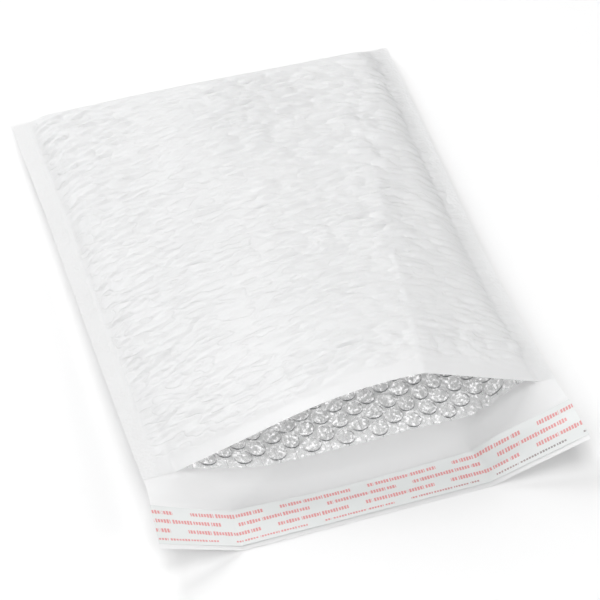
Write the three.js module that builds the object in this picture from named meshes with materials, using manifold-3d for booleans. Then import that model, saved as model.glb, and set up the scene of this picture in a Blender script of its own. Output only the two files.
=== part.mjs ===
// A padded mailing envelope, lying on its back panel with its mouth open.
//
// One web of poly film is folded at the closed end and welded along both sides. It makes the front panel, the
// back panel and the closing flap. A web of bubble film lines both panels. A strip of adhesive lies across the
// flap, under a peel-off release liner.
//
// Millimetres, +Z up, +X across the envelope, +Y from the mouth to the closed end. The shape is worked out from
// the mouth line at y = 0, and the group is moved so that the origin is under the middle of the footprint.
import * as THREE from "three";
import Module from "manifold-3d";

const wasm = await Module();
wasm.setup();

// The flat envelope and its layers.
const flatWidth = 229;
const pocketDepth = 279;
const flapLength = 43.4;
const weldWidth = 10;
const filmThickness = 0.1;
const bubbleHeight = 4;
const adhesiveThickness = 0.1;
const adhesiveWidth = 16;
const linerThickness = 0.1;
const linerWidth = 22.2;
const linerFromFlapEnd = 2.5;
const liningGap = 0.25; // between the lining and the film
const stripGap = 0.1; // between the layers on the flap

// The side edges come in as the panels bow apart at the mouth, and splay out again along the flap.
const mouthHalfWidth = 109.6;
const flapHalfWidth = 113.1;
const sideKinkY = -5;

// Heights above the table.
const closedWeldHeight = 4.7;
const mouthWeldHeight = 18.5;
const flapEndHeight = 19.2;
const mouthRise = 28; // the front lip, above the welds
const closedRise = 4.7;
const pillowRollOff = 15; // width over which the padding rises from a weld
const closedEndRadius = 6;
const slotHeight = 0.5; // between the lining's layers where they lie together

// The front panel's ridge, and how its opened shape dies away towards the closed end.
const ridgeAtMouth = 39;
const ridgeAtClosedEnd = 88;
const archSharpness = 1.1;
const riseFade = 1.15;
const tentFade = 0.7;
const lipPullBack = 2.7; // the raised lip is drawn towards the closed end

// The back panel rises to its welds on slopes at the mouth, and the flap is creased into three facets.
const leftSlopeAtMouth = 60;
const rightSlopeAtMouth = 33;
const leftCreaseAtFlapEnd = -71.5;
const rightCreaseAtFlapEnd = 60;
const slopeFade = 0.8;

// The lining's front edges, behind the mouth line, and where its layers part beside the welds.
const backLiningStart = 0.5;
const frontLiningStart = 11;
const lipBandEnd = 12; // the first row of the grid behind the front lining's edge
const liningFromWeld = 1;
const pocketFromWeld = 7;

// The grid that every layer shares.
const pocketRowCount = 11;
const foldRowCount = 5;
const flatShares = [0, 0.16, 0.32, 0.48, 0.62, 0.75, 0.87, 1]; // of the way from the middle to the padding's edge
const weldDistances = [10, 7, 4, 2, 1, 0];
const cutterOverrun = 2; // how far a cutting solid reaches past what it cuts

const straightEnd = pocketDepth - closedEndRadius;
const halfFlat = flatWidth / 2;
const BACK = -1;
const FRONT = 1;
const mix = (a, b, t) => a + (b - a) * t;
const clamp = (t) => Math.min(1, Math.max(0, t));
const opened = (y) => 1 - clamp(y / pocketDepth); // 1 at the mouth, 0 at the closed end

// Half the width between the side edges.
function halfWidth(y) {
  if (y < sideKinkY) {
    return mix(mouthHalfWidth, flapHalfWidth, (sideKinkY - y) / (sideKinkY + flapLength));
  }
  return mix(mouthHalfWidth, halfFlat, (y - sideKinkY) / (pocketDepth - sideKinkY));
}

// Half the width between the welds.
function reach(y) {
  return halfWidth(y) - weldWidth;
}

// Height of the side welds, and of the flap's side edges.
function weldHeight(y) {
  if (y < 0) return mix(mouthWeldHeight, flapEndHeight, -y / flapLength);
  return mix(closedWeldHeight, mouthWeldHeight, opened(y));
}

// A quarter ellipse: 0 at no distance, 1 from the given width on.
function rollOff(distance, width) {
  const left = 1 - clamp(distance / width);
  return Math.sqrt(1 - left * left);
}

// Height of the front panel above the welds. At the mouth it is an arch up to the ridge and a straight slope down
// from it, at the closed end it is a flat pillow, and it blends from one to the other.
function frontRise(x, y) {
  const edge = reach(y);
  const ridge = mix(ridgeAtClosedEnd, ridgeAtMouth, opened(y));
  const climb = Math.pow(clamp((x + edge) / (ridge + edge)), archSharpness);
  const arch = Math.sin((Math.PI / 2) * climb);
  const slope = clamp((edge - x) / (edge - ridge));
  const tent = x < ridge ? arch : slope;
  const pillow = rollOff(edge - Math.abs(x), pillowRollOff);
  const height = mix(closedRise, mouthRise, Math.pow(opened(y), riseFade));
  return height * mix(pillow, tent, Math.pow(opened(y), tentFade));
}

// Share of the weld height that the back panel drops: 0 at the welds, 1 where it lies on the table.
function backDrop(x, y) {
  const fromWeld = reach(y) - Math.abs(x);
  const straight = clamp(fromWeld / (x < 0 ? leftSlopeAtMouth : rightSlopeAtMouth));
  return mix(rollOff(fromWeld, pillowRollOff), straight, Math.pow(opened(y), slopeFade));
}

// Share of the flap's edge height: 0 on the middle facet, 1 at the side edges.
function flapFacet(x) {
  const crease = x < 0 ? leftCreaseAtFlapEnd : rightCreaseAtFlapEnd;
  return clamp((Math.abs(x) - Math.abs(crease)) / (flapHalfWidth - Math.abs(crease)));
}

// Underside of the back panel and, past the mouth line, of the flap.
function underside(x, y, round = 1) {
  if (y >= 0) return weldHeight(y) * (1 - backDrop(x, y) * round);
  const atMouth = 1 - backDrop((x * reach(0)) / reach(y), 0);
  return weldHeight(y) * mix(atMouth, flapFacet(x), -y / flapLength);
}

// A layer of the pocket at a depth below its outer surface. The two sides keep at least the given height
// between them. A row is a y and, round the closed end, the share of the full padding's height there.
function pocketSide(depth, leastHeight, side) {
  return (x, row) => {
    const scale = (closedEndRadius - depth) / closedEndRadius;
    const y = row.y > straightEnd ? mix(straightEnd, row.y, scale) : row.y;
    const rise = frontRise(x, row.y) * row.round;
    const low = underside(x, row.y, row.round);
    const high = weldHeight(row.y) + 2 * filmThickness + rise;
    const halfHeight = Math.max((high - low) / 2 - depth, leastHeight / 2);
    const pull = side === FRONT ? (lipPullBack * opened(y) * rise) / mouthRise : 0;
    return [x, y + pull, (high + low) / 2 + side * halfHeight];
  };
}

// A layer on the flap, at a height above the film's underside.
function flapSide(height) {
  return (x, row) => [x, row.y, underside(x, row.y) + height];
}

// A closed shell between a lower and an upper surface on one grid. columnsAt gives the columns of a row.
function slab(rows, columnsAt, lower, upper) {
  const points = [];
  for (const surface of [lower, upper]) {
    for (const row of rows) {
      for (const x of columnsAt(row.y)) points.push(...surface(x, row));
    }
  }
  const columnCount = columnsAt(rows[0].y).length;
  const low = (r, c) => r * columnCount + c;
  const high = (r, c) => low(r, c) + rows.length * columnCount;
  const triangles = [];
  const quad = (a, b, c, d) => triangles.push(a, b, c, a, c, d);
  const lastRow = rows.length - 1;
  const lastColumn = columnCount - 1;
  for (let r = 0; r < lastRow; r += 1) {
    for (let c = 0; c < lastColumn; c += 1) {
      quad(high(r, c), high(r, c + 1), high(r + 1, c + 1), high(r + 1, c));
      quad(low(r, c), low(r + 1, c), low(r + 1, c + 1), low(r, c + 1));
    }
    quad(low(r + 1, 0), low(r, 0), high(r, 0), high(r + 1, 0));
    quad(low(r, lastColumn), low(r + 1, lastColumn), high(r + 1, lastColumn), high(r, lastColumn));
  }
  for (let c = 0; c < lastColumn; c += 1) {
    quad(low(0, c), low(0, c + 1), high(0, c + 1), high(0, c));
    quad(low(lastRow, c + 1), low(lastRow, c), high(lastRow, c), high(lastRow, c + 1));
  }
  const geometry = new THREE.BufferGeometry();
  geometry.setAttribute("position", new THREE.Float32BufferAttribute(points, 3));
  geometry.setIndex(triangles);
  return geometry;
}

function solidOf(geometry) {
  return new wasm.Manifold(
    new wasm.Mesh({
      numProp: 3,
      vertProperties: geometry.getAttribute("position").array,
      triVerts: new Uint32Array(geometry.index.array),
    }),
  );
}

function geometryOf(solid) {
  const made = solid.getMesh();
  const geometry = new THREE.BufferGeometry();
  geometry.setAttribute("position", new THREE.BufferAttribute(made.vertProperties, made.numProp));
  geometry.setIndex(new THREE.BufferAttribute(made.triVerts, 1));
  geometry.computeVertexNormals();
  return geometry;
}

// Columns from weld to weld: spread over the full padding, then close together towards the welds.
function pocketColumns(y) {
  const right = [
    ...flatShares.map((share) => share * (reach(y) - pillowRollOff)),
    ...weldDistances.map((distance) => reach(y) - distance),
  ];
  const left = right.slice(1).reverse();
  return [...left.map((x) => -x), ...right];
}

// The pocket's columns that are at least a distance from the welds.
const dropped = (fromWeld) => weldDistances.filter((distance) => distance < fromWeld).length;
function columnsTo(fromWeld) {
  return (y) => pocketColumns(y).slice(dropped(fromWeld), -dropped(fromWeld));
}

// The pocket's columns and the side edges.
const filmColumns = (y) => [-halfWidth(y), ...pocketColumns(y), halfWidth(y)];

const straightRow = (y) => ({ y, round: 1 });

// Rows from the mouth to the start of the closed end's round.
const mouthRow = straightRow(0);
const lipBandRow = straightRow(lipBandEnd);
const deepRows = Array.from({ length: pocketRowCount }, (_, i) =>
  straightRow(mix(lipBandEnd, straightEnd, (i + 1) / pocketRowCount)),
);
const straightRows = [mouthRow, lipBandRow, ...deepRows];

// Rows round the closed end, up to a number of steps short of the fold line.
function foldRows(stepsShort) {
  return Array.from({ length: foldRowCount - stepsShort }, (_, i) => {
    const angle = ((Math.PI / 2) * (i + 1)) / foldRowCount;
    return { y: straightEnd + closedEndRadius * Math.sin(angle), round: Math.cos(angle) };
  });
}

const overrunRow = straightRow(-cutterOverrun);

// Rows on the flap: its end, the edges of the two strips on it, the kink and the mouth line.
const linerFar = linerFromFlapEnd - flapLength;
const linerNear = linerFar + linerWidth;
const adhesiveFar = linerFar + (linerWidth - adhesiveWidth) / 2;
const adhesiveNear = adhesiveFar + adhesiveWidth;
const linerRows = [linerFar, adhesiveFar, adhesiveNear, linerNear].map(straightRow);
const adhesiveRows = linerRows.slice(1, -1);
const flapRows = [straightRow(-flapLength), ...linerRows, straightRow(sideKinkY), mouthRow];

// The pocket's shell, joined to the single layer of the flap. The flap's sheet runs on to the first row inside
// the pocket, where it is the back panel.
function filmSolid() {
  const side = (which) => pocketSide(filmThickness, 0, which);
  const rows = [...straightRows, ...foldRows(0)];
  const pocket = solidOf(slab(rows, filmColumns, pocketSide(0, 0, BACK), pocketSide(0, 0, FRONT)));
  const cavity = solidOf(slab([overrunRow, ...rows], pocketColumns, side(BACK), side(FRONT)));
  const flap = solidOf(slab([...flapRows, lipBandRow], filmColumns, flapSide(0), flapSide(filmThickness)));
  return pocket.subtract(cavity).add(flap);
}

// Two layers of bubble film, joined along the welds and round the closed end. Each layer's front edge lies a
// little behind the mouth line.
function liningSolid() {
  const outside = filmThickness + liningGap;
  const inside = outside + bubbleHeight;
  const startingAt = (start, surface) => (x, row) => surface(x, { ...row, y: Math.max(row.y, start) });
  const web = solidOf(
    slab(
      [...straightRows, ...foldRows(1)],
      columnsTo(liningFromWeld),
      startingAt(backLiningStart, pocketSide(outside, 0, BACK)),
      startingAt(frontLiningStart, pocketSide(outside, 0, FRONT)),
    ),
  );
  const pocket = solidOf(
    slab(
      [overrunRow, ...straightRows],
      columnsTo(pocketFromWeld),
      pocketSide(inside, slotHeight, BACK),
      pocketSide(inside, slotHeight, FRONT),
    ),
  );
  return web.subtract(pocket);
}

// A strip that follows the flap from side to side, between two heights above the film's underside.
function flapStrip(rows, bottom, top) {
  return solidOf(slab(rows, filmColumns, flapSide(bottom), flapSide(top)));
}

const polyFilm = new THREE.MeshStandardMaterial({ color: 0xf2f2f1, roughness: 0.42, metalness: 0 });
const bubbleFilm = new THREE.MeshStandardMaterial({ color: 0xe6e9e9, roughness: 0.15, metalness: 0 });
const adhesive = new THREE.MeshStandardMaterial({ color: 0xe9e4cf, roughness: 0.3, metalness: 0 });
const linerFilm = new THREE.MeshStandardMaterial({ color: 0xecefee, roughness: 0.35, metalness: 0 });

function named(name, solid, material) {
  const mesh = new THREE.Mesh(geometryOf(solid), material);
  mesh.name = name;
  return mesh;
}

const adhesiveBottom = filmThickness + stripGap;
const linerBottom = adhesiveBottom + adhesiveThickness + stripGap;

const envelope = new THREE.Group();
envelope.add(
  named("outer_film", filmSolid(), polyFilm),
  named("bubble_lining", liningSolid(), bubbleFilm),
  named(
    "adhesive_strip",
    flapStrip(adhesiveRows, adhesiveBottom, adhesiveBottom + adhesiveThickness),
    adhesive,
  ),
  named("release_liner", flapStrip(linerRows, linerBottom, linerBottom + linerThickness), linerFilm),
);
envelope.position.y = (flapLength - pocketDepth) / 2;

export default envelope;
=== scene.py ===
"""A padded mailing envelope, lying on its back panel with its mouth open, on a pale studio floor.

Its shapes are worked out in millimetres, across (x), from the mouth line towards the closed end (y)
and up (z), and are put into meshes in metres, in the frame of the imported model. Lengths are in
millimetres unless another unit is named.
"""
import math

import bpy
import numpy as np
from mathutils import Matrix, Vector


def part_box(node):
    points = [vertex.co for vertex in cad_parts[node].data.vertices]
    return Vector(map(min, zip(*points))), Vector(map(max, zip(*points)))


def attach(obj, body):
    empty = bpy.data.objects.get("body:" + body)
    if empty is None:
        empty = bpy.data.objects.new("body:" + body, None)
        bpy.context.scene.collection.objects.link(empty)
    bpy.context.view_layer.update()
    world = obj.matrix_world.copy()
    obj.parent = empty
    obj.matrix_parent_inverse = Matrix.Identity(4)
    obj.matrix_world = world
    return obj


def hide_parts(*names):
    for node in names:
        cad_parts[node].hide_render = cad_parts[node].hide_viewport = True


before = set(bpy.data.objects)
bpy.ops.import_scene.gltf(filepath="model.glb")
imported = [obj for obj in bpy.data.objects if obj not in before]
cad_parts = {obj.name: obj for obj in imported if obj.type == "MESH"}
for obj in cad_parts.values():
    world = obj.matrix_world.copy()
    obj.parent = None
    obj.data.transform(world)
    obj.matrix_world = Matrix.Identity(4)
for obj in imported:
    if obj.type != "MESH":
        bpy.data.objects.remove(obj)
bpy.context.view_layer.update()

MM = 0.001
BACK = -1
FRONT = 1

# The flat envelope and its layers.
film_low, film_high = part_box("outer_film")
liner_low, liner_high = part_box("release_liner")
FLAP_LENGTH = 43.4
WELD_WIDTH = 10
FILM = 0.1
LINING_DEPTH = 0.35  # from the outside of the film to the lining
LINING_CUT = 3  # from the mouth line to the lining's cut edge on the back panel
LINING_CLEARANCE = 1  # from the weld to the lining's side edge
STRIP_GAP = 0.1
HALF_FLAT = film_high.x / MM
MOUTH_LINE = film_low.y / MM + FLAP_LENGTH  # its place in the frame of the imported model
POCKET_DEPTH = film_high.y / MM - MOUTH_LINE
LINER_WIDTH = (liner_high.y - liner_low.y) / MM

# The side edges come in as the panels bow apart at the mouth, and splay out again along the flap.
MOUTH_HALF_WIDTH = 109.6
FLAP_HALF_WIDTH = 113.1
KINK_Y = -5

# Heights above the floor.
CLOSED_WELD = 4.7
MOUTH_WELD = 18.5
FLAP_END = 19.2
MOUTH_RISE = 28
CLOSED_RISE = 4.7
ROLL_OFF = 12
CLOSED_END_RADIUS = 6
STRAIGHT_END = POCKET_DEPTH - CLOSED_END_RADIUS

# The front panel at the mouth: a straight climb from the left, a soft crest, a sharp ridge and a
# straight fall.
RIDGE_AT_MOUTH = 39
RIDGE_AT_CLOSED_END = 88
LEFT_FOOT = 0.934  # where the climb starts, as a share of the way from the middle to the left weld
CLIMB_AT_MIDDLE = 1.03  # height of the climb over the middle, as a share of the rise
CREST = 1.02
CREST_FALL = 0.0016  # for each millimetre to the right
CREST_SOFTNESS = 0.43
RIDGE_HEIGHT = 0.957
RISE_FADE = 1.15
TENT_FADE = 0.7
LIP_PULL_BACK = 2.7

# The back panel's slopes up to its welds: how wide they are, by distance from the mouth line.
SLOPE_PLACES = (0, 4, 7, 30, POCKET_DEPTH)
RIGHT_SLOPE_WIDTHS = (32, 27, 20, 18, ROLL_OFF)
LEFT_SLOPE_WIDTH = 58.6
RIGHT_HOLLOW = 0.85  # powers that hollow a slope, or below 1 swell it
LEFT_HOLLOW = 1.2
LEFT_LEDGE = 6.6  # how far the left weld stays closed at the mouth, and how soon that ends
LEFT_LEDGE_END = 45
SLOPE_FADE = 0.8

# The flap's two creases, by distance from the mouth line: the foot of the slope, the crease itself,
# its height.
RIGHT_CREASE = {
    "at": (0, 4.5, 11, 18.5, 22, 31, FLAP_LENGTH),
    "foot": (67.6, 63.5, 59.5, 58, 58.5, 62, 60),
    "crease": (99.6, 93, 84, 72.5, 64.5, 63.6, 61),
    "height": (18.5, 15.6, 12, 7.2, 3, 0.6, 0),
}
LEFT_CREASE = {
    "at": (0, 3, 8, 12.5, 17, FLAP_LENGTH),
    "foot": (41, 45, 56, 65, 69.5, 70.5),
    "crease": (93, 91, 84.6, 78.8, 71, 71.5),
    "height": (18.5, 17.5, 12.5, 6.5, 0.3, 0),
}

# How far the side edges are drawn in, by distance from the mouth line.
DRAWN_IN = {
    "at": (-FLAP_LENGTH, -8, 6, 20, 60, 100, 140, 200, POCKET_DEPTH),
    "right": (0, -1.2, -0.5, 0.4, 2.1, 3.2, 2.5, 1.3, 0),
    "left": (0, -0.2, -0.5, -0.6, -0.5, -0.2, 0.2, 0.6, 0),
}
DRAWN_FADE = (30, 115)  # from the middle, where it starts and where it is complete

# The left of the closed end stands higher: by what share, from how far along, and fading out to the
# right.
CLOSED_SWELL = 0.42
SWELL_START = 120
SWELL_FADE = (-45, 110)

# The bubbles stand in columns along the envelope, each column half a step from the next.
BUBBLE_STEP = 10.7
COLUMN_STEP = BUBBLE_STEP * math.sqrt(3) / 2
BUBBLE_RADIUS = 4.75
BUBBLE_HEIGHT = 4
BUBBLE_FULLNESS = (0.82, 1.0)  # least and greatest share of that height
BUBBLE_SIDES = 14
BUBBLE_COLUMNS = 10  # on each side of the middle one
BUBBLE_ROWS = 25
BUBBLE_SCATTER = 0.25
LEAST_BUBBLE = 1.6  # a bubble with less height than this is left out
LIP_BAND = 11  # the bare film in front of the front lining
FIRST_BUBBLES = {BACK: 9.4, FRONT: LIP_BAND + 10}  # from the mouth line, and from the lip
PLACE_SEEDS = {BACK: 31, FRONT: 32}
SHAPE_SEEDS = {BACK: 41, FRONT: 42}
RIGHT_PADDING = 5.5  # how far the ripples run onto the right weld

# Kinds of scallop on the front panel: the step across and along, half of a bump's size across,
# towards the mouth and away from it, and the seed.
SCALES = ((12.5, 5.35), (9.2, 1.7, 3.9), 51)
SMALL_SCALES = ((9, 4.1), (6.4, 1.4, 2.9), 52)
LARGE_SCALES = ((15, 12.5), (10, 5, 7.5), 53)
ROUND_BUMPS = ((COLUMN_STEP, BUBBLE_STEP), (5.8, 5, 5.8), 55)
SCALLOP_TABLE = 97  # random values along each side of the table that they repeat from
SCALLOP_SHIFT = (0.45, 0.3)  # greatest shift across and along, as shares of a step
SCALLOP_HEIGHT = 0.65
SCALLOP_VARIES = 0.45

# Where the front panel's ripples lie. Each fade is where it starts and where it is complete.
FAN_BEND = 13  # how much nearer the mouth a row lies at the welds than in the middle
FAN_POWER = 2.5
RIGHT_FADE = (0, 50)
LEFT_FADE = (30, 85)
RIDGE_LUMPS_ASIDE = 4  # to the right of the ridge
RIDGE_LUMPS_WIDTH = 19
RIDGE_LUMPS_START = (60, 105)
RIDGE_LUMPS_END = (215, 250)
LIP_LUMPS_PLACE = 24
LIP_LUMPS_WIDTH = 13
LIP_LUMPS_FADE = (-65, 5)
BEAD_HEIGHT = 0.45  # the bead that runs along the ridge
BEAD_WIDTH = 1.8
BEAD_END = (110, 200)
RIPPLES_FROM_WELD = (0, 6)
RIPPLES_FROM_LIP = (6, 15)
RIPPLES_END = (268, 277)
RIPPLES_RANGE = (-0.25, 3.2)  # least and greatest height

# Short creases, drawn at random: least and greatest value of each measure.
SHORT_COUNT = 150
SHORT_SEED = 8
SHORT_X = (-94, 94)
SHORT_Y = (20, 262)
SHORT_HALF_RUN = (7, 20)
SHORT_CLIMB = -0.42  # slope of those that lie 100 mm to the right
SHORT_CLIMB_SPREAD = 0.1
SHORT_DEPTH = (0.08, 0.3)
SHORT_BOW = (-1, 2)
SHORT_WIDTH = (1, 1.6)


def mix(a, b, share):
    return a + (b - a) * share


def ease(value, start, end):
    """0 before start, 1 after end, and a smooth S between them."""
    share = np.clip((value - start) / (end - start), 0, 1)
    return share * share * (3 - 2 * share)


def opened(y):
    """1 at the mouth, 0 at the closed end."""
    return 1 - np.clip(y / POCKET_DEPTH, 0, 1)


def half_width(y):
    """Half the width between the side edges: straight from the closed end to the kink, then out to
    the flap's end."""
    flap = mix(MOUTH_HALF_WIDTH, FLAP_HALF_WIDTH, (KINK_Y - y) / (KINK_Y + FLAP_LENGTH))
    pocket = mix(MOUTH_HALF_WIDTH, HALF_FLAT, (y - KINK_Y) / (POCKET_DEPTH - KINK_Y))
    return np.where(y < KINK_Y, flap, pocket)


def reach(y):
    """Half the width between the welds."""
    return half_width(y) - WELD_WIDTH


def weld_height(y):
    """Height of the side welds and of the flap's side edges: straight in two stretches."""
    on_flap = mix(MOUTH_WELD, FLAP_END, -y / FLAP_LENGTH)
    return np.where(y < 0, on_flap, mix(CLOSED_WELD, MOUTH_WELD, opened(y)))


def roll_off(distance, width):
    """A quarter of a sine wave: 0 at no distance, 1 from the given width on."""
    return np.sin(math.pi / 2 * np.clip(distance / width, 0, 1))


def soft_min(a, b, width):
    """The smaller of two values, rounded by a parabola where they are within a width of each
    other."""
    share = np.clip(1 - np.abs(a - b) / width, 0, 1)
    return np.minimum(a, b) - share * share * width / 4


def ridge_place(y):
    """The ridge runs straight from near the middle at the mouth to near the right weld at the
    closed end."""
    return mix(RIDGE_AT_CLOSED_END, RIDGE_AT_MOUTH, opened(y))


def front_rise(x, y):
    """Height of the front panel above the welds: at the mouth the least of three straight
    stretches, the first two met by a soft crest, and at the closed end a flat pillow with
    rolled-off sides. One fades into the other."""
    edge = reach(y)
    foot = edge * LEFT_FOOT
    climb = CLIMB_AT_MIDDLE * (x + foot) / foot
    crest = CREST - CREST_FALL * x
    fall = RIDGE_HEIGHT * (edge + 1 - x) / (edge + 1 - ridge_place(y))
    tent = np.minimum(soft_min(climb, crest, CREST_SOFTNESS), fall)
    pillow = roll_off(edge - np.abs(x), ROLL_OFF)
    height = mix(CLOSED_RISE, MOUTH_RISE, opened(y) ** RISE_FADE)
    shape = mix(pillow, np.clip(tent, 0, None), opened(y) ** TENT_FADE)
    return height * np.where(np.abs(x) < edge, shape, 0)


def back_rise(x, y):
    """Share of the weld height that the back panel rises to: a hollow slope near the mouth, a
    quarter ellipse near the closed end, and a fade between them. It is 1 at the welds and 0 where
    the panel lies on the floor."""
    from_weld = reach(y) - np.abs(x)
    from_ledge = from_weld - LEFT_LEDGE * (1 - ease(y, 0, LEFT_LEDGE_END))
    right = np.interp(y, SLOPE_PLACES, RIGHT_SLOPE_WIDTHS)
    right_slope = np.clip(1 - from_weld / right, 0, 1) ** RIGHT_HOLLOW
    left_slope = np.clip(1 - from_ledge / (LEFT_SLOPE_WIDTH - LEFT_LEDGE), 0, 1) ** LEFT_HOLLOW
    slope = np.where(x < 0, left_slope, right_slope)
    return mix(1 - roll_off(from_weld, ROLL_OFF), slope, opened(y) ** SLOPE_FADE)


def flap_side(x, y, lines, hollow):
    """Height of one side of the flap, for a distance x from the middle: a hollow slope from its
    foot up to the crease, then a straight facet from the crease to the side edge."""
    foot, crease, height = (np.interp(-y, lines["at"], lines[k]) for k in ("foot", "crease", "height"))
    slope = height * np.clip((x - foot) / np.maximum(crease - foot, 0.5), 0, 1) ** hollow
    facet = mix(height, weld_height(y), np.clip((x - crease) / (half_width(y) - crease), 0, 1))
    return np.where(x < crease, slope, facet)


def flap_waves(x, y):
    """Low waves along the flap, which die away at the mouth line and stay above the floor."""
    waves = 0.5 + gradient_noise(x / 34, y / 13, 11)
    return 0.9 * waves * ease(-y, 0, 12) * ease(FLAP_LENGTH + y, -4, 14)


def underside(x, y, fullness=1.0):
    """Height of the underside of the back panel and, past the mouth line, of the flap."""
    right = flap_side(x, y, RIGHT_CREASE, RIGHT_HOLLOW)
    left = flap_side(-x, y, LEFT_CREASE, LEFT_HOLLOW)
    flap = np.where(x < 0, left, right) + flap_waves(x, y)
    back = weld_height(y) * (1 - (1 - back_rise(x, y)) * fullness)
    return np.where(y < 0, flap, back)


def pocket_surface(x, y, depth, side, fullness=1.0, least=0.0):
    """A layer of the pocket at a depth below its outer surface. Both sides lie the same way from
    the middle of the pocket's height, and they keep a least height between them. Round the closed
    end the fullness falls to 0."""
    scale = (CLOSED_END_RADIUS - depth) / CLOSED_END_RADIUS
    run = np.where(y > STRAIGHT_END, mix(STRAIGHT_END, y, scale), y)
    rise = front_rise(x, y) * fullness
    low = underside(x, y, fullness)
    high = weld_height(y) + 2 * FILM + rise
    half = np.maximum((high - low) / 2 - depth, least / 2)
    pull = LIP_PULL_BACK * opened(y) * rise / MOUTH_RISE * (side == FRONT)
    return np.stack(np.broadcast_arrays(x, run + pull, (high + low) / 2 + side * half), axis=-1)


def gradient_noise(u, v, seed):
    """Smooth noise of about -0.7 to 0.7. A random direction stands at each whole-number corner, a
    point's value from a corner is its offset along that direction, and the four corners' values are
    blended by smooth steps."""
    size = 256
    turn = np.random.default_rng(seed).uniform(0, 2 * math.pi, (size, size))
    u, v = np.broadcast_arrays(u, v)
    whole_u, whole_v = np.floor(u).astype(int), np.floor(v).astype(int)
    part_u, part_v = u - whole_u, v - whole_v

    def corner(du, dv):
        angle = turn[(whole_u + du) % size, (whole_v + dv) % size]
        return np.cos(angle) * (part_u - du) + np.sin(angle) * (part_v - dv)

    step_u, step_v = (p * p * p * (p * (p * 6 - 15) + 10) for p in (part_u, part_v))
    near = mix(corner(0, 0), corner(1, 0), step_u)
    far = mix(corner(0, 1), corner(1, 1), step_u)
    return mix(near, far, step_v)


def crease(x, y, start, end, bow, depth, width):
    """A pulled crease between two points: beside its line the film is pushed in on one side and
    stands up on the other, by the slope of a bell curve. It tapers off at both ends and bows to one
    side by a parabola."""
    run = np.subtract(end, start)
    length = np.hypot(*run)
    along = ((x - start[0]) * run[0] + (y - start[1]) * run[1]) / length**2
    aside = ((y - start[1]) * run[0] - (x - start[0]) * run[1]) / length - bow * 4 * along * (1 - along)
    taper = np.sqrt(np.clip(along * (1 - along) * 4, 0, 1))
    return depth * taper * (aside / width) * np.exp(0.5 - (aside / width) ** 2)


# Long creases of the front panel: start, end, bow, depth, width.
LONG_CREASES = (
    ((101, 222), (44, 262), -3, 0.55, 2.2),
    ((101, 238), (22, 270), -4, 0.45, 2.6),
    ((99, 207), (58, 238), -2, 0.5, 2.0),
    ((102, 250), (60, 271), -1, 0.4, 1.8),
    ((98, 190), (52, 214), -2, 0.45, 1.8),
    ((-101, 62), (-52, 92), -3, 0.5, 1.9),
    ((-100, 118), (-46, 142), -3, 0.4, 1.7),
    ((-101, 160), (-58, 178), -2, 0.35, 1.6),
    ((-99, 30), (-60, 47), -2, 0.35, 1.7),
    ((-102, 214), (-62, 236), -2, 0.3, 1.6),
)


def short_creases(x, y):
    """Many small creases at random places, each turned to climb towards the closed end as it runs
    inwards. Those on the right are deeper."""
    random = np.random.default_rng(SHORT_SEED)
    total = np.zeros(np.broadcast(x, y).shape)
    for _ in range(SHORT_COUNT):
        middle_x = random.uniform(*SHORT_X)
        middle_y = random.uniform(*SHORT_Y)
        half_run = random.uniform(*SHORT_HALF_RUN)
        climb = SHORT_CLIMB * middle_x / 100 + random.normal(0, SHORT_CLIMB_SPREAD)
        lean = np.array((half_run, climb * half_run))
        middle = np.array((middle_x, middle_y))
        depth = random.uniform(*SHORT_DEPTH) * (0.7 + 0.4 * (middle_x > 0))
        bow = random.uniform(*SHORT_BOW)
        width = random.uniform(*SHORT_WIDTH)
        total += crease(x, y, middle - lean, middle + lean, bow, depth, width)
    return total


def scallops(x, y, step, half, seed):
    """Overlapping bumps like fish scales, 0 to about 1 high. They stand in staggered columns, each
    at a random shift and height. A bump is a paraboloid, 1 - (dx/a)^2 - (dy/b)^2, whose b is
    smaller on the side towards the mouth, and the highest bump at a point is the one that shows."""
    random = np.random.default_rng(seed)
    size = (SCALLOP_TABLE, SCALLOP_TABLE)
    shift_x, shift_y, tall = (random.uniform(-1, 1, size) for _ in range(3))
    highest = np.zeros(np.broadcast(x, y).shape)
    column = np.floor(x / step[0])
    for across in (-1, 0, 1):
        this = column + across
        stagger = (this % 2) / 2
        for along in (-1, 0, 1):
            row = np.floor(y / step[1] - stagger) + along
            key = ((this % SCALLOP_TABLE).astype(int), (row % SCALLOP_TABLE).astype(int))
            from_x = x - (this + 0.5 + SCALLOP_SHIFT[0] * shift_x[key]) * step[0]
            from_y = y - (row + stagger + 0.5 + SCALLOP_SHIFT[1] * shift_y[key]) * step[1]
            run = np.where(from_y < 0, half[1], half[2])
            height = SCALLOP_HEIGHT + SCALLOP_VARIES * tall[key]
            bump = height * (1 - (from_x / half[0]) ** 2 - (from_y / run) ** 2)
            highest = np.maximum(highest, bump)
    return highest


def bell(distance, width):
    """A bell curve: 1 at no distance, and about a third at the width."""
    return np.exp(-((distance / width) ** 2))


def ripple_amount(x, y, right):
    """How strong the scallops and wrinkles are. They are weakest left of the middle, stronger
    towards the left side, the middle and the right side, and half as strong again near the closed
    end."""
    left = ease(-x, *LEFT_FADE) * ease(y, -20, 120)
    middle = 1.7 * ease(x, -25, 12) * (1 - right)
    return (0.6 + 1.5 * right + left + middle) * (1 + 0.5 * ease(y, 215, 245))


def ridge_bead(y, from_ridge):
    """A thin bead of film that wanders along the ridge near the mouth, and comes and goes."""
    height = np.clip(0.5 + 1.4 * gradient_noise(0.5, y / 9, 56), 0, 1)
    aside = from_ridge - 2.5 * gradient_noise(0.5, y / 17, 57)
    return BEAD_HEIGHT * height * bell(aside, BEAD_WIDTH) * (1 - ease(y, *BEAD_END))


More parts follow.
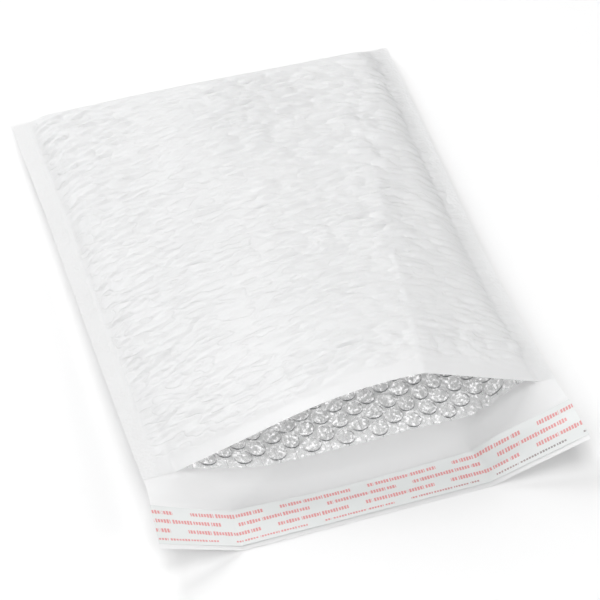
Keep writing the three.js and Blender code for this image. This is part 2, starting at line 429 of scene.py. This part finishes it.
def front_ripples(x, y):
    """How far the front film stands out over the padding. Scallops lie over the bubbles, in rows
    that fan up from the welds and are shifted about by noise. Wrinkles that run across are noise
    stretched along the same lines. Creases lie on top. All of it fades out at the lip and at the
    welds, and swells into lumps beside the ridge."""
    edge = reach(y) + RIGHT_PADDING * (x > 0)
    side = np.abs(x) / edge
    from_ridge = x - ridge_place(y)
    fan = y + FAN_BEND * side**FAN_POWER + 3 * gradient_noise(x / 34, y / 24, 2)
    shift_x = x + 4 * gradient_noise(x / 26, y / 26, 1)
    right = ease(x, *RIGHT_FADE)
    scales = scallops(shift_x, fan, *SCALES)
    small = scallops(shift_x + 5, fan + 1.5, *SMALL_SCALES)
    large = scallops(x, fan, *LARGE_SCALES)
    round_bumps = scallops(shift_x, y, *ROUND_BUMPS)
    wrinkles = gradient_noise(x / 15, fan / 3.8, 3) + 0.6 * gradient_noise(x / 8, fan / 2.6, 4)
    swell = gradient_noise(x / 38, fan / 19, 6)
    patchy = np.clip(0.5 + 1.1 * gradient_noise(x / 24, y / 24, 54), 0, 1)
    beside_ridge = bell(from_ridge - RIDGE_LUMPS_ASIDE, RIDGE_LUMPS_WIDTH)
    beside_ridge = beside_ridge * ease(y, *RIDGE_LUMPS_START) * (1 - ease(y, *RIDGE_LUMPS_END))
    near_lip = bell(y - LIP_LUMPS_PLACE, LIP_LUMPS_WIDTH) * ease(x, *LIP_LUMPS_FADE)
    fine = 0.5 * mix(small, scales, patchy) + 0.14 * small + 0.3 * wrinkles
    ripples = ripple_amount(x, y, right) * fine + 0.4 * swell
    ripples += 0.2 * round_bumps * (0.4 + right) + 0.1
    ripples += beside_ridge * (2.5 * large + 1.1 * scales)
    ripples += near_lip * (1.7 * round_bumps + 0.7 * scales + 0.2 * swell)
    ripples += ridge_bead(y, from_ridge)
    for start, end, bow, depth, width in LONG_CREASES:
        ripples += crease(x, y, start, end, bow, depth, width)
    ripples += short_creases(x, y)
    inside = ease(edge - np.abs(x), *RIPPLES_FROM_WELD) * ease(y, *RIPPLES_FROM_LIP)
    inside = inside * (1 - ease(y, *RIPPLES_END))
    return np.clip(ripples * inside, *RIPPLES_RANGE)


def weld_waves(x, y):
    """Height of the low waves along the welded edges, with small puckers that are stronger on the
    right."""
    on_weld = ease(np.abs(x) - reach(y), -4, 4)
    right = x > 0
    puckers = gradient_noise(x / 9, y / 5, 10) * (1 + right)
    puckers = puckers + 0.8 * right * gradient_noise(x / 5, y / 2.8, 12)
    return on_weld * (0.5 * gradient_noise(x / 60, y / 26, 9) + 0.12 * puckers)


def drawn_in(points):
    """The points with the side edges brought in by their tables, less and less towards the middle,
    and with the left of the closed end raised."""
    x, y, z = np.moveaxis(points, -1, 0)
    far = ease(np.abs(x), *DRAWN_FADE)
    left = np.interp(y, DRAWN_IN["at"], DRAWN_IN["left"])
    right = np.interp(y, DRAWN_IN["at"], DRAWN_IN["right"])
    amount = np.where(x < 0, left, right)
    swell = 1 + CLOSED_SWELL * ease(y, SWELL_START, POCKET_DEPTH) * (1 - ease(x, *SWELL_FADE))
    return np.stack((x - np.sign(x) * amount * far, y, z * swell), -1)


def frame_metres(points):
    """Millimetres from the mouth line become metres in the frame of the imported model."""
    return (points + np.array((0, MOUTH_LINE, 0))) * MM


SHARP_ANGLE = math.radians(62)


def new_piece(name, points, faces, material, attributes=None):
    """A mesh object at the origin, smooth except at sharp edges, with one number for each vertex
    per attribute."""
    mesh = bpy.data.meshes.new(name)
    mesh.from_pydata(frame_metres(drawn_in(points.reshape(-1, 3))).tolist(), [], faces)
    mesh.shade_smooth()
    mesh.set_sharp_from_angle(angle=SHARP_ANGLE)
    for key, values in (attributes or {}).items():
        layer = mesh.attributes.new(key, "FLOAT", "POINT")
        layer.data.foreach_set("value", np.asarray(values, np.float32).ravel())
    mesh.materials.append(material)
    mesh.validate()
    piece = bpy.data.objects.new(name, mesh)
    bpy.context.scene.collection.objects.link(piece)
    return piece


def shell_faces(rows, columns, step=1):
    """Faces of a closed thin shell: one grid outside, one inside it turned round, and a rim that
    joins them. The inner grid may keep only every step-th row and column."""
    outer = np.arange(rows * columns).reshape(rows, columns)
    inner = np.arange(outer[::step, ::step].size).reshape(outer[::step, ::step].shape) + outer.size
    skins = [
        np.stack((grid[:-1, :-1], grid[1:, :-1], grid[1:, 1:], grid[:-1, 1:]), -1).reshape(-1, 4)
        for grid in (outer, inner)
    ]
    faces = skins[0].tolist() + skins[1][:, ::-1].tolist()
    rims = (
        (outer[::-1, 0], inner[::-1, 0]),
        (outer[:, -1], inner[:, -1]),
        (outer[0], inner[0]),
        (outer[-1, ::-1], inner[-1, ::-1]),
    )
    for rim, back in rims:
        along = [rim[first : len(rim) - step + first : step] for first in range(step)]
        faces += np.stack((*along, rim[step::step], back[1:], back[:-1]), -1).tolist()
    return faces


def on_both_skins(values, step):
    """A shell's values on its outer grid, and then on the rows and columns that its inner grid
    keeps."""
    return np.concatenate((values.ravel(), values[::step, ::step].ravel()))


def grid_normals(points):
    """Unit normals of a grid: the cross product of its two directions."""
    down, across = np.gradient(points, axis=0), np.gradient(points, axis=1)
    normals = np.cross(down, across)
    return normals / np.maximum(np.linalg.norm(normals, axis=-1, keepdims=True), 1e-9)


def across_envelope(places, y):
    """x for places across: 0 is the middle, 1 the weld's inner edge, 2 the side edge."""
    inside = np.clip(places, -1, 1) * reach(y)
    return inside + (places - np.clip(places, -1, 1)) * WELD_WIDTH


# Rows and columns of the grids. The strips lie between two of the flap's rows.
FLAP_ROWS = np.linspace(-FLAP_LENGTH, 0, 36)
FILM_PLACES = np.concatenate(
    (np.linspace(-2, -1.2, 5), np.linspace(-1, 1, 179), np.linspace(1.2, 2, 5))
)
FOLD_ANGLES = np.linspace(0, math.pi / 2, 7)[1:]
NEAR_MOUTH = 24  # the rows are closer together up to here
INNER_STEP = 2  # the film's inner skin keeps every second row and column
ADHESIVE_ROWS = (4, 17)
LINER_ROWS = (2, 20)
LINER_DRIFT = 2.2


def web_rows(back, front):
    """The rows of a folded web: along the back panel, round the closed end and back along the front
    panel. Each row has its y, its fullness and its side."""
    fold_y = STRAIGHT_END + CLOSED_END_RADIUS * np.sin(FOLD_ANGLES)
    fold_full = np.cos(FOLD_ANGLES)
    y = np.concatenate((back, fold_y, fold_y[::-1], front))
    full = np.concatenate((np.ones(len(back)), fold_full, fold_full[::-1], np.ones(len(front))))
    back_side = np.full(len(back) + len(fold_y), BACK)
    side = np.concatenate((back_side, np.full(len(fold_y) + len(front), FRONT)))
    return y[:, None], full[:, None], side[:, None]


def make_film(material):
    """The outer film: one web from the flap's end, under the back panel, round the closed end and
    over the front panel to the lip. The pocket's outer surface is pushed out by the ripples, along
    its normals. The inside is on a grid half as fine, one film's thickness behind the outside, and
    a little more behind the ripples."""
    near = np.linspace(0, NEAR_MOUTH, 13)[1:]
    back = np.concatenate((FLAP_ROWS, near, np.linspace(NEAR_MOUTH, STRAIGHT_END, 26)[1:]))
    front = np.linspace(STRAIGHT_END, 0, 314)
    y, full, side = web_rows(back, front)
    x = across_envelope(FILM_PLACES[None, :], y)
    y = np.broadcast_to(y, x.shape)
    sides = pocket_surface(x, y, 0.0, side, full)
    flap = np.stack((x, y, underside(x, y)), -1)
    surface = np.where((y < 0)[..., None], flap, sides)
    lift = np.where(side == FRONT, front_ripples(x, y) * full, 0)
    surface[..., 2] += weld_waves(x, y) * ease(weld_height(y), 3, 8)
    normals = grid_normals(surface)
    outer = surface + normals * lift[..., None]
    behind = FILM + 0.15 * ease(y, 5, 14) * (side == FRONT) * full
    inner = (surface - normals * behind[..., None])[::INNER_STEP, ::INNER_STEP]
    on_weld = ease(np.abs(x) - reach(y) - RIGHT_PADDING * (x > 0), -0.5, 1.5) * (y > 0)
    over_padding = (1 - on_weld) * ease(y, LIP_BAND - 4, LIP_BAND + 4) * (side == FRONT)
    # Painted light: 1 on the front welds and on the whole back side with the flap, where the film is
    # given a lighter colour.
    bare_painted_light_mask = np.where(side == FRONT, on_weld, 1)
    points = np.concatenate((outer.reshape(-1, 3), inner.reshape(-1, 3)))
    grids = {"weld": on_weld, "padding": over_padding, "bare_painted_light": bare_painted_light_mask}
    attributes = {key: on_both_skins(values, INNER_STEP) for key, values in grids.items()}
    return new_piece("poly_film", points, shell_faces(*x.shape, INNER_STEP), material, attributes)


def lining_start(x):
    """The lining of the back panel starts a little behind the mouth line, along a slightly wavy
    cut."""
    return LINING_CUT + 2.4 * gradient_noise(x / 33, 0.5, 21) + 3.5 * ease(x, 66, 84)


def make_lining_web(material):
    """The base film of the lining: one web inside the outer film, from the back panel round the
    closed end to the front panel, with small crumples in it."""
    back = np.concatenate((np.linspace(0, 0.2, 40), np.linspace(0.2, 1, 30)[1:]))
    front = np.concatenate((np.linspace(1, 0.2, 30), np.linspace(0.2, 0, 20)[1:]))
    places = np.linspace(-1, 1, 111)
    y, full, side = web_rows(back, front)
    rows = len(y)
    is_back = np.arange(rows) < len(back)
    is_front = np.arange(rows) >= rows - len(front)
    share = np.broadcast_to(y, (rows, len(places)))
    guess = across_envelope(places[None, :], np.where(share > 1, share, share * STRAIGHT_END))
    from_mouth = np.where(is_back[:, None], mix(lining_start(guess), STRAIGHT_END, share), share)
    from_lip = mix(LIP_BAND, STRAIGHT_END, share)
    y = np.where(is_front[:, None], from_lip, from_mouth)
    x = places[None, :] * (reach(y) - LINING_CLEARANCE)
    crumple = 0.35 * gradient_noise(x / 5, y / 4, 22) + 0.25 * gradient_noise(x / 2.4, y / 2.4, 23)
    depth = LINING_DEPTH + np.clip(crumple + 0.1, 0, 0.6) * ease(reach(y) - np.abs(x), 1, 6) * full
    outer = pocket_surface(x, y, depth, side, full)
    inner = pocket_surface(x, y, depth + FILM, side, full)
    return new_piece("lining_base_film", np.stack((outer, inner)), shell_faces(*x.shape), material)


# The rings of a bubble: share of its radius, share of its height, and 1 at the foot of the wall, 0
# away from it.
BUBBLE_RINGS = (
    (0.9, 0.0, 0.0),
    (1.0, 0.0, 1.0),
    (0.975, 0.42, 0.82),
    (0.86, 0.8, 0.36),
    (0.55, 0.97, 0.06),
)


def bubble_places(side):
    """Places of one lining's bubbles: columns a step apart, every other one moved on by half a
    bubble. Only those clear of the lining's cut edge, of the welds and of the closed end are
    kept."""
    start = FIRST_BUBBLES[side]
    columns = np.arange(-BUBBLE_COLUMNS, BUBBLE_COLUMNS + 1)
    rows = np.arange(0, BUBBLE_ROWS)
    x = np.broadcast_to((columns * COLUMN_STEP)[:, None], (len(columns), len(rows))).ravel()
    y = (start + rows[None, :] * BUBBLE_STEP + (columns[:, None] % 2) * BUBBLE_STEP / 2).ravel()
    random = np.random.default_rng(PLACE_SEEDS[side])
    x = x + random.normal(0, BUBBLE_SCATTER, x.shape)
    y = y + random.normal(0, BUBBLE_SCATTER, y.shape)
    room = reach(y) - np.abs(x) - BUBBLE_RADIUS
    half = pocket_half_height(x, y) - LINING_DEPTH - 2 * FILM
    height = np.minimum(BUBBLE_HEIGHT * random.uniform(*BUBBLE_FULLNESS, x.shape), half - 0.3)
    kept = (room > 1.5) & (height > LEAST_BUBBLE) & (y + BUBBLE_RADIUS < STRAIGHT_END - 1)
    kept &= (y - BUBBLE_RADIUS > lining_start(x) + 0.6) | (side == FRONT)
    return x[kept], y[kept], height[kept]


def pocket_half_height(x, y):
    """Half the height of the pocket, over the outside."""
    return (weld_height(y) + 2 * FILM + front_rise(x, y) - underside(x, y)) / 2


def make_bubbles(name, side, material):
    """Air bubbles of one lining, each a flat-topped dome on rings of rising height. A ring's radius
    wavers a little round the bubble, and the dome follows the panel that it stands on. A flat face
    closes it below."""
    x, y, height = bubble_places(side)
    count = len(x)
    random = np.random.default_rng(SHAPE_SEEDS[side])
    angle = np.arange(BUBBLE_SIDES) * 2 * math.pi / BUBBLE_SIDES
    shares, rises, walls_near = np.array(BUBBLE_RINGS).T
    oval = 0.05 * np.sin(2 * angle + random.uniform(0, 6, (count, 1)))
    waver = 1 + oval + random.normal(0, 0.02, (count, 1))
    radius = BUBBLE_RADIUS * shares[None, :, None] * waver[:, None, :]
    tilt = random.normal(0, 0.07, (count, 2, 1))
    slant = 1 + tilt[:, :1] * np.cos(angle) + tilt[:, 1:] * np.sin(angle)
    rise = height[:, None, None] * rises[None, :, None] * slant[:, None, 0]
    ring_x = x[:, None, None] + radius * np.cos(angle)
    ring_y = y[:, None, None] + radius * np.sin(angle)
    foot = LINING_DEPTH + FILM / 2
    rings = pocket_surface(ring_x, ring_y, foot + rise, side).reshape(count, -1, 3)
    tops = pocket_surface(x, y, foot + height, side)[:, None]
    points = np.concatenate((rings, tops), axis=1)
    per_bubble = points.shape[1]

    ring = np.arange(BUBBLE_SIDES)
    ahead = (ring + 1) % BUBBLE_SIDES
    levels = np.arange(len(BUBBLE_RINGS) - 1)[:, None] * BUBBLE_SIDES
    low, low_ahead = ring + levels, ahead + levels
    walls = np.stack((low, low_ahead, low_ahead + BUBBLE_SIDES, low + BUBBLE_SIDES), -1)
    last = (len(BUBBLE_RINGS) - 1) * BUBBLE_SIDES
    caps = np.stack((ring + last, ahead + last, np.full(BUBBLE_SIDES, per_bubble - 1)), -1)
    base = ring[::-1]
    if side == FRONT:
        walls, caps, base = walls[..., ::-1], caps[..., ::-1], base[::-1]
    shifts = (np.arange(count) * per_bubble)[:, None, None]
    faces = []
    for part in (walls.reshape(-1, 4), caps, base[None, :]):
        faces += (part[None] + shifts).reshape(-1, part.shape[-1]).tolist()

    # These attributes place the painted shade on each bubble: wall is 1 at the wall's foot, and facing
    # is highest on the side where that shade is darkest.
    wall = np.concatenate((np.repeat(walls_near, BUBBLE_SIDES), (0,)))
    facing = np.concatenate((np.tile(np.cos(angle + math.radians(50)), len(BUBBLE_RINGS)), (0,)))
    one_each = np.ones((count, per_bubble))
    attributes = {"wall": wall * one_each, "facing": facing * one_each}
    return new_piece(name, points, faces, material, attributes)


def make_strip(name, first_row, last_row, bottom, thickness, drift, material):
    """A strip that follows the flap from side to side between two of its rows. Its near edge drifts
    along a parabola towards the mouth at both sides."""
    rows = FLAP_ROWS[first_row : last_row + 1]
    share = ((rows - rows[0]) / (rows[-1] - rows[0]))[:, None]
    x = across_envelope(FILM_PLACES[None, :], rows[:, None])
    y = rows[:, None] + drift * share * ((x / FLAP_HALF_WIDTH) ** 2 * 2 - 1)
    low = underside(x, y) + bottom
    grids = [np.stack((x, y, low + lift), -1) for lift in (0, thickness)]
    rise = np.broadcast_to((rows - rows[0])[:, None], x.shape)
    attributes = {"run": np.stack((x, x)), "up": np.stack((rise, rise))}
    return new_piece(name, np.stack(grids), shell_faces(*x.shape), material, attributes)


class Value:
    """A shader socket in arithmetic: each operation adds one Math node."""

    def __init__(self, finish, socket):
        self.finish = finish
        self.socket = socket

    def math(self, operation, *others, clamp=False):
        settings = {"operation": operation, "use_clamp": clamp}
        made = self.finish.node("ShaderNodeMath", settings, dict(enumerate((self, *others))))
        return Value(self.finish, made.outputs[0])

    def __add__(self, other):
        return self.math("ADD", other)

    def __sub__(self, other):
        return self.math("SUBTRACT", other)

    def __rsub__(self, other):
        return self.finish.number("SUBTRACT", other, self)

    def __mul__(self, other):
        return self.math("MULTIPLY", other)

    def __truediv__(self, other):
        return self.math("DIVIDE", other)

    def __lt__(self, other):
        return self.math("LESS_THAN", other)

    __radd__ = __add__
    __rmul__ = __mul__

    def clip(self):
        return self.math("ADD", 0, clamp=True)

    def ramp(self, start, end):
        """0 before start, 1 after end, straight between them."""
        sockets = {"Value": self, "From Min": start, "From Max": end}
        made = self.finish.node("ShaderNodeMapRange", {"clamp": True}, sockets)
        return Value(self.finish, made.outputs[0])


class Finish:
    """One procedural material: its nodes, and its surface shader."""

    def __init__(self, name, **surface):
        self.material = bpy.data.materials.new(name)
        self.material.use_nodes = True
        self.tree = self.material.node_tree
        self.shader = self.tree.nodes["Principled BSDF"]
        self.feed(self.shader, surface)

    def feed(self, node, sockets):
        for key, value in sockets.items():
            if isinstance(value, Value):
                self.tree.links.new(value.socket, node.inputs[key])
            else:
                node.inputs[key].default_value = value

    def node(self, kind, settings=None, sockets=None):
        made = self.tree.nodes.new(kind)
        for key, value in (settings or {}).items():
            setattr(made, key, value)
        self.feed(made, sockets or {})
        return made

    def number(self, operation, *values):
        made = self.node("ShaderNodeMath", {"operation": operation}, dict(enumerate(values)))
        return Value(self, made.outputs[0])

    def place(self, scale=(1, 1, 1), turn=0.0):
        """Object coordinates, stretched and turned about the vertical."""
        where = Value(self, self.node("ShaderNodeTexCoord").outputs["Object"])
        sockets = {"Vector": where, "Scale": scale, "Rotation": (0, 0, turn)}
        return Value(self, self.node("ShaderNodeMapping", None, sockets).outputs[0])

    def attribute(self, name):
        return Value(self, self.node("ShaderNodeAttribute", {"attribute_name": name}).outputs["Fac"])

    def noise(self, place, scale, detail=2.0, roughness=0.5):
        sockets = {"Vector": place, "Scale": scale, "Detail": detail, "Roughness": roughness}
        return Value(self, self.node("ShaderNodeTexNoise", None, sockets).outputs[0])

    def cells(self, place, scale, feature="F1"):
        """Distance from a point to its cell's middle, or to its edge."""
        sockets = {"Vector": place, "Scale": scale}
        made = self.node("ShaderNodeTexVoronoi", {"feature": feature}, sockets)
        return Value(self, made.outputs["Distance"])

    def blend(self, share, first, second):
        """A colour between two colours."""
        made = self.node("ShaderNodeMix", {"data_type": "RGBA"}, {0: share, 6: first, 7: second})
        return Value(self, made.outputs[2])

    def bump(self, height, distance, strength):
        """Relief of a height from 0 to 1 that stands a distance, in metres, off the surface."""
        sockets = {"Height": height, "Distance": distance, "Strength": strength}
        return Value(self, self.node("ShaderNodeBump", None, sockets).outputs[0])

    def surface(self, **sockets):
        self.feed(self.shader, {key.replace("_", " "): value for key, value in sockets.items()})
        return self.material

    def let_light_through(self, share, color):
        """Mixes in a shader that passes light from the other side of the film."""
        through = self.node("ShaderNodeBsdfTranslucent", None, {"Color": color})
        mixed = self.node("ShaderNodeMixShader", None, {0: share})
        self.tree.links.new(self.shader.outputs[0], mixed.inputs[1])
        self.tree.links.new(through.outputs[0], mixed.inputs[2])
        self.tree.links.new(mixed.outputs[0], self.tree.nodes["Material Output"].inputs["Surface"])


# Finishes. The glows are emission levels.
FILM_PASSES = 0.4  # share of the light that goes through the film
LINING_GLOW = 0.31  # stands for the light that the film scatters about inside the pocket
# Glow of the painted glints on the clear film: painted light.
PAINTED_GLINT_GLOW = 0.5
INK_COVER = 0.64
RED_INK = (0.74, 0.07, 0.07, 1)
DARK_INK = (0.10, 0.05, 0.05, 1)
FLOOR_GLOW = 0.02
FLOOR_SIZE = 6.0  # metres
FLOOR_DROP = 0.0004  # metres


def grey(level, blue=0.0):
    """A grey, with a little added to its blue and half as much to its green."""
    return (level, level + blue / 2, level + blue, 1)


def film_finish():
    """Satin white poly film: faint clouding, fine crinkles over the padding, and a pressed speckle on
    the welds. Its colour carries painted light: it is made lighter on the front panel's welds, on the
    back panel and on the flap."""
    finish = Finish("satin_white_film", **{"IOR": 1.5})
    weld = finish.attribute("weld")
    padding = finish.attribute("padding")
    cloud = finish.noise(finish.place(), scale=22, detail=2)
    crinkle = finish.noise(finish.place((0.5, 1, 1), 0.1), scale=300, detail=3, roughness=0.6)
    lines = finish.noise(finish.place((0.45, 1, 1), 0.04), scale=150, detail=1) - 0.5
    lines = lines.math("ABSOLUTE").ramp(0, 0.05)
    grain = finish.noise(finish.place(), scale=1500, detail=2)
    speckle = finish.cells(finish.place(), 620).ramp(0.25, 0.7)
    height = padding * (crinkle * 0.8 + lines * 0.6) + grain * 0.1 + weld * speckle * 0.4
    tone = finish.blend(cloud.ramp(0.3, 0.7), grey(0.90, 0.006), grey(0.925, 0.004))
    finish.let_light_through(FILM_PASSES, grey(0.97))
    return finish.surface(
        # Painted light: a lighter colour on the front welds, the back panel and the flap.
        Base_Color=finish.blend(finish.attribute("bare_painted_light"), tone, grey(0.955, 0.003)),
        Roughness=0.28 + cloud * 0.12 + weld * speckle * 0.08,
        Normal=finish.bump(height, distance=0.0005, strength=0.8),
    )


def clear_finish(name, is_bubble):
    """Clear glossy film over a white ground. It is crumpled all over, with painted glints: bright
    patches that also glow. Bubble walls carry painted shade, darker on the side away from the light, and
    so do the straight lines between the columns of bubbles. Elsewhere the film glows faintly, as painted
    light for the light that the film scatters about inside the pocket."""
    finish = Finish(name, **{"IOR": 1.48, "Emission Strength": 1.0})
    crumple = finish.noise(finish.place(), scale=520, detail=3, roughness=0.6)
    folds = finish.cells(finish.place((1, 0.8, 1), 0.4), 420, "DISTANCE_TO_EDGE")
    # Painted glints: bright crinkle highlights, given a near-white colour and a glow.
    painted_glint = finish.noise(finish.place(turn=0.9), scale=620, detail=2, roughness=0.6).ramp(0.54, 0.66)
    if is_bubble:
        wall = finish.attribute("wall")
        facing = finish.attribute("facing")
        # Painted shade: a dark rim at the foot of each bubble wall, darkest on the side turned from the
        # light.
        dark = wall.ramp(0.78, 0.95) * (0.5 + facing.ramp(-0.6, 0.4) * 0.5)
        alpha = 0.06 + wall.ramp(0.3, 0.9) * 0.1 + dark * 0.85 + painted_glint * 0.4
    else:
        along = Value(finish, finish.node("ShaderNodeSeparateXYZ", None, {0: finish.place()}).outputs[0])
        # Painted shade: thin dark lines on the film between the columns of bubbles.
        line = (along / (COLUMN_STEP * MM) + 0.5).math("FRACT")
        line = 1 - (line - 0.5).math("ABSOLUTE").ramp(0.01, 0.05)
        dark = line * 0.5
        alpha = 0.1 + line * 0.3 + painted_glint * 0.3
    tone = finish.blend(dark, grey(0.95, 0.006), grey(0.06, 0.01))
    tone = finish.blend(painted_glint * (1 - dark), tone, grey(0.99))
    height = crumple * 0.7 + folds.ramp(0, 0.12) * 0.5
    # Painted light: the clear film glows faintly, brighter at the painted glints and not at all under
    # the painted shade.
    glow = finish.blend(painted_glint, grey(LINING_GLOW), grey(PAINTED_GLINT_GLOW))
    return finish.surface(
        Base_Color=tone,
        Roughness=0.08 + crumple * 0.08,
        Alpha=alpha.clip(),
        Normal=finish.bump(height, distance=0.0006, strength=0.5),
        Emission_Color=finish.blend(dark, glow, grey(0.0)),
    )


def adhesive_finish():
    """Clear pressure-sensitive adhesive with a faint yellow tint and a slightly streaky coat."""
    finish = Finish("tacky_adhesive")
    streak = finish.noise(finish.place((0.05, 1, 1)), scale=500, detail=2)
    tone = finish.blend(streak, (0.80, 0.77, 0.66, 1), (0.86, 0.84, 0.76, 1))
    return finish.surface(
        Base_Color=tone,
        Roughness=0.2 + streak * 0.12,
        Normal=finish.bump(streak, distance=0.0001, strength=0.3),
    )


# The liner's rows of blocks: share of its width, half the height of a block, shift along, and
# whether the row turns dark towards the right.
PRINT_ROWS = (
    (0.17, 1.2, 0, False),
    (0.41, 1.2, 23, False),
    (0.66, 1.2, 4, False),
    (0.88, 0.6, 27, True),
)
PRINT_PERIOD = 46
PRINT_RUN = 37
PRINT_LEAD = 10 * PRINT_PERIOD  # keeps the count of periods above 0
BLOCK_STEP = 1.45
BLOCK_LEAD = 300  # keeps the count of blocks above 0
HALF_BLOCK = 0.36  # share of a step
GROUP_ENDS = (0.09, 0.11, 0.31, 0.33, 0.60, 0.62, 0.84, 0.86)  # ends of the gaps, as shares of a run


def liner_finish():
    """Siliconed white liner film, printed with staggered rows of small red blocks in groups."""
    finish = Finish("printed_release_liner", **{"IOR": 1.46})
    run = finish.attribute("run")
    up = finish.attribute("up")
    cloud = finish.noise(finish.place(), scale=60, detail=2)
    ink = None
    dark = run.ramp(10, 90)
    dark_row = None
    for share, half_height, shift, turns_dark in PRINT_ROWS:
        phase = ((run + (shift + PRINT_LEAD)) / PRINT_PERIOD).math("FRACT")
        phase = phase * (PRINT_PERIOD / PRINT_RUN)
        groups = finish.node("ShaderNodeValToRGB", None, {0: phase})
        stops = groups.color_ramp
        stops.interpolation = "CONSTANT"
        stops.elements[0].position = 0
        stops.elements[0].color = (1, 1, 1, 1)
        stops.elements[1].position = 1
        stops.elements[1].color = (0, 0, 0, 1)
        for index, place in enumerate(GROUP_ENDS):
            stops.elements.new(place).color = grey(index % 2)
        block = (run + (shift + BLOCK_LEAD)) / BLOCK_STEP
        gap = (block.math("FRACT") - 0.5).math("ABSOLUTE") < HALF_BLOCK
        settings, sockets = {"noise_dimensions": "1D"}, {"W": block.math("FLOOR")}
        uneven = finish.node("ShaderNodeTexWhiteNoise", settings, sockets)
        tall = half_height * (0.75 + Value(finish, uneven.outputs["Value"]) * 0.3)
        band = (up - (LINER_WIDTH * (1 - share))).math("ABSOLUTE") < tall
        row = Value(finish, groups.outputs[0]) * gap * band
        ink = row if ink is None else ink + row
        if turns_dark:
            dark_row = row
    relief = finish.noise(finish.place(), scale=240, detail=2)
    red = finish.blend(dark * dark_row, RED_INK, DARK_INK)
    tone = finish.blend(cloud, (0.765, 0.785, 0.78, 1), (0.80, 0.815, 0.81, 1))
    return finish.surface(
        Base_Color=finish.blend(ink.clip() * INK_COVER, tone, red),
        Roughness=0.26 + cloud * 0.12,
        Normal=finish.bump(relief, distance=0.0002, strength=0.2),
    )


def floor_finish():
    """A white studio floor with a faint glow."""
    glow = {"Emission Color": (1, 1, 1, 1), "Emission Strength": FLOOR_GLOW}
    finish = Finish("studio_floor", **glow)
    faint = finish.noise(finish.place(), scale=3, detail=1)
    return finish.surface(Base_Color=finish.blend(faint, grey(0.90), grey(0.91)), Roughness=0.9)


def make_floor():
    """One square, a little below the envelope so that the two don't touch."""
    half = FLOOR_SIZE / 2 / MM
    corners = np.array([(-half, -half), (half, -half), (half, half), (-half, half)])
    points = np.column_stack((corners, np.full(4, -FLOOR_DROP / MM)))
    return new_piece("floor", points, [(0, 1, 2, 3)], floor_finish())


# Camera, in metres and degrees.
CAMERA_AZIMUTH = -17.57
CAMERA_ELEVATION = 48.44
CAMERA_DISTANCE = 1.2965
CAMERA_TARGET = (0.00593, -0.0110, 0.0)
CAMERA_LENS = 143.07
CAMERA_SENSOR = 36


def towards(azimuth, elevation):
    """Unit vector at an azimuth, where 0 stands on the -Y side and looks along +Y, and at an
    elevation."""
    a, e = math.radians(azimuth), math.radians(elevation)
    return Vector((math.sin(a) * math.cos(e), -math.cos(a) * math.cos(e), math.sin(e)))


def make_camera():
    """A camera that looks at its target from its azimuth and elevation."""
    lens = bpy.data.cameras.new("camera")
    lens.lens = CAMERA_LENS
    lens.sensor_width = CAMERA_SENSOR
    camera = bpy.data.objects.new("camera", lens)
    bpy.context.scene.collection.objects.link(camera)
    back = towards(CAMERA_AZIMUTH, CAMERA_ELEVATION)
    camera.location = Vector(CAMERA_TARGET) + back * CAMERA_DISTANCE
    camera.rotation_mode = "QUATERNION"
    camera.rotation_quaternion = (-back).to_track_quat("-Z", "Y")
    bpy.context.scene.camera = camera


# Soft lights: azimuth, elevation, distance and side in metres, power in watts.
LIGHTS = {
    "behind": (180, 28, 1.8, 1.0, 9.0),
    "behind_high": (-160, 46, 1.8, 0.5, 6.5),
    "back_left": (-135, 22, 1.8, 1.0, 11.5),
    "front_left": (-45, 50, 1.8, 1.0, 10.2),
    "front_right": (45, 22, 1.8, 1.0, 16.5),
    "overhead": (0, 88, 1.8, 1.0, 12.4),
}
WORLD_LEVEL = 0.0


def make_light(name, azimuth, elevation, distance, side, power):
    """A square lamp that faces the origin."""
    lamp = bpy.data.lights.new(name, "AREA")
    lamp.size = side
    lamp.energy = power
    light = bpy.data.objects.new(name, lamp)
    bpy.context.scene.collection.objects.link(light)
    back = towards(azimuth, elevation)
    light.location = back * distance
    light.rotation_mode = "QUATERNION"
    light.rotation_quaternion = (-back).to_track_quat("-Z", "Y")


def make_world():
    """A plain surround, and colours shown as they are."""
    world = bpy.data.worlds.new("studio")
    world.use_nodes = True
    world.node_tree.nodes["Background"].inputs["Color"].default_value = (1, 1, 1, 1)
    world.node_tree.nodes["Background"].inputs["Strength"].default_value = WORLD_LEVEL
    bpy.context.scene.world = world
    bpy.context.scene.view_settings.view_transform = "Standard"


make_camera()
make_world()
for light_name, light_values in LIGHTS.items():
    make_light(light_name, *light_values)
make_floor()

film = make_film(film_finish())
lining = make_lining_web(clear_finish("clear_base_film", False))
bubble_clear = clear_finish("clear_bubbles", True)
back_bubbles = make_bubbles("back_bubbles", BACK, bubble_clear)
front_bubbles = make_bubbles("front_bubbles", FRONT, bubble_clear)
adhesive_bottom = FILM + STRIP_GAP
liner_bottom = adhesive_bottom + FILM + STRIP_GAP
adhesive = make_strip("adhesive_strip_film", *ADHESIVE_ROWS, adhesive_bottom, FILM, 0, adhesive_finish())
liner = make_strip("liner_film", *LINER_ROWS, liner_bottom, FILM, LINER_DRIFT, liner_finish())

for piece, node, slot in (
    (film, "outer_film", "film"),
    (lining, "bubble_lining", "bubble_film"),
    (back_bubbles, "bubble_lining", "bubble_film"),
    (front_bubbles, "bubble_lining", "bubble_film"),
    (adhesive, "adhesive_strip", "adhesive"),
    (liner, "release_liner", "liner"),
):
    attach(piece, "root")
    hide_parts(node)
